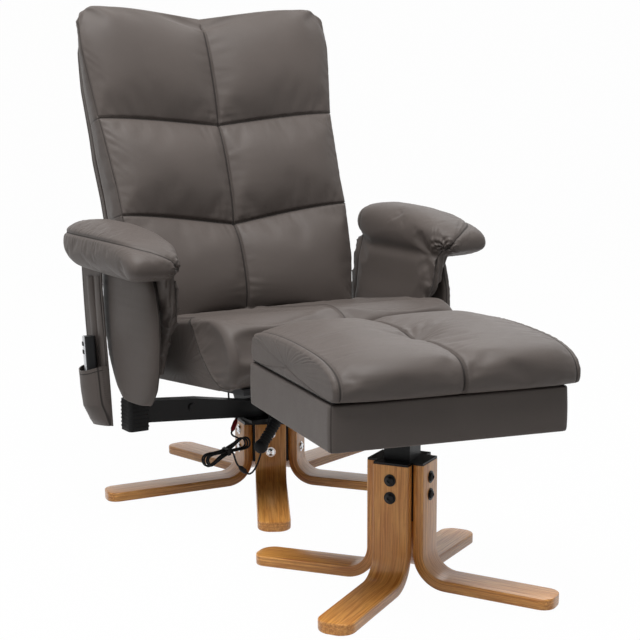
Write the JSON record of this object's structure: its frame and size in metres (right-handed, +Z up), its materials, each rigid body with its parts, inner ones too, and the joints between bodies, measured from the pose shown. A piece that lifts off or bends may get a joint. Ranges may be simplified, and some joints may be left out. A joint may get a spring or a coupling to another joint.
{
  "type": "massage recliner with ottoman",
  "caption": "Padded swivel massage recliner on a bentwood star base, with a side pocket and remote, a recline lever and a matching storage ottoman with a hinged lid.",
  "frame": {"origin": "on the floor, on the vertical axis the chair swivels about, at the centre of the ring of the chair's five glides", "axes": "+Z up; the chair faces -Y, so +Y runs from the ottoman to the backrest; +X is the chair's own left"},
  "size_m": [0.876, 1.3794, 1.0684],
  "materials": {
    "upholstery": "satin",
    "bentwood": "satin lacquer",
    "board": "raw",
    "black_steel": "satin",
    "black_plastic": "matte",
    "bright_bolt": "polished",
    "red_plastic": "gloss",
    "silver_plastic": "satin",
    "lead_rubber": "satin"
  },
  "bodies": {
    "chair_base": {"base_leg_1": "bentwood", "base_leg_2": "bentwood", "base_leg_3": "bentwood", "base_leg_4": "bentwood", "base_leg_5": "bentwood", "base_hub": "black_steel", "base_bolts": "bright_bolt", "base_glides": "black_plastic", "swivel_bearing": "black_steel"},
    "seat_carriage": {"swivel_plate": "black_steel", "cross_member": "black_steel", "arm_cap_right": "black_plastic", "arm_cap_left": "black_plastic", "arm_outer_right": "upholstery", "arm_outer_left": "upholstery", "arm_inner_right": "upholstery", "arm_inner_left": "upholstery", "arm_pad_right": "upholstery", "arm_pad_left": "upholstery", "seat_frame": "board", "seat_cushion": "upholstery", "seat_brackets": "black_steel", "carriage_bolts": "bright_bolt", "seat_motors": "black_plastic", "control_box": "black_plastic", "side_pocket": "upholstery", "lead_exit": "lead_rubber", "lead_coupler": "red_plastic", "lead_drop": "lead_rubber", "lead_hank": "lead_rubber", "lead_tie": "black_plastic", "lead_link": "lead_rubber", "inline_coupler": "black_plastic", "lead_return": "lead_rubber"},
    "backrest": {"back_frame": "board", "back_cushion": "upholstery", "back_cover": "upholstery", "back_brackets": "black_steel", "back_motors": "black_plastic"},
    "recline_lever": {"lever_arm": "black_steel", "lever_grip": "black_plastic"},
    "remote": {"remote_body": "black_plastic", "remote_face": "silver_plastic"},
    "button_1": {"remote_button_1": "black_plastic"},
    "button_2": {"remote_button_2": "black_plastic"},
    "button_3": {"remote_button_3": "black_plastic"},
    "button_4": {"remote_button_4": "black_plastic"},
    "ottoman": {"ottoman_leg_1": "bentwood", "ottoman_leg_2": "bentwood", "ottoman_leg_3": "bentwood", "ottoman_leg_4": "bentwood", "ottoman_post": "black_steel", "ottoman_bolts": "black_steel", "ottoman_glides": "black_plastic", "ottoman_box": "upholstery", "ottoman_floor": "board", "ottoman_hinge_leaves": "black_steel"},
    "ottoman_lid": {"lid_board": "board", "lid_cushion": "upholstery", "lid_hinge_leaves": "black_steel"}
  },
  "joints": [
    {"name": "chair_swivel", "type": "hinge", "parent": "chair_base", "child": "seat_carriage", "pos_m": [0, 0, 0.161], "axis": [0, 0, 1], "continuous": true},
    {"name": "backrest_recline", "type": "hinge", "parent": "seat_carriage", "child": "backrest", "pos_m": [0, 0.12, 0.33], "axis": [-1, 0, 0], "range_deg": [0, 35]},
    {"name": "lever_pull", "type": "hinge", "parent": "seat_carriage", "child": "recline_lever", "pos_m": [0, -0.098, 0.245], "axis": [-1, 0, 0], "range_deg": [0, 18], "stiffness_Nm_per_rad": 4, "springref_deg": -8.59},
    {"name": "remote_lift", "type": "slide", "parent": "seat_carriage", "child": "remote", "axis": [0, 0.1219, 0.9925], "range_m": [0, 0.08]},
    {"name": "button_press_1", "type": "slide", "parent": "remote", "child": "button_1", "axis": [0.9511, -0.3067, 0.0377], "range_m": [0, 0.001], "stiffness_N_per_m": 300, "springref_m": -0.001},
    {"name": "button_press_2", "type": "slide", "parent": "remote", "child": "button_2", "axis": [0.9511, -0.3067, 0.0377], "range_m": [0, 0.001], "stiffness_N_per_m": 300, "springref_m": -0.001},
    {"name": "button_press_3", "type": "slide", "parent": "remote", "child": "button_3", "axis": [0.9511, -0.3067, 0.0377], "range_m": [0, 0.001], "stiffness_N_per_m": 300, "springref_m": -0.001},
    {"name": "button_press_4", "type": "slide", "parent": "remote", "child": "button_4", "axis": [0.9511, -0.3067, 0.0377], "range_m": [0, 0.001], "stiffness_N_per_m": 300, "springref_m": -0.001},
    {"name": "ottoman_place", "type": "slide", "parent": "chair_base", "child": "ottoman", "axis": [0, -1, 0], "range_m": [0, 0.5]},
    {"name": "lid_open", "type": "hinge", "parent": "ottoman", "child": "ottoman_lid", "pos_m": [-0.10258, -0.51342, 0.389], "axis": [-0.9814, 0.192, 0], "range_deg": [0, 100]}
  ]
}
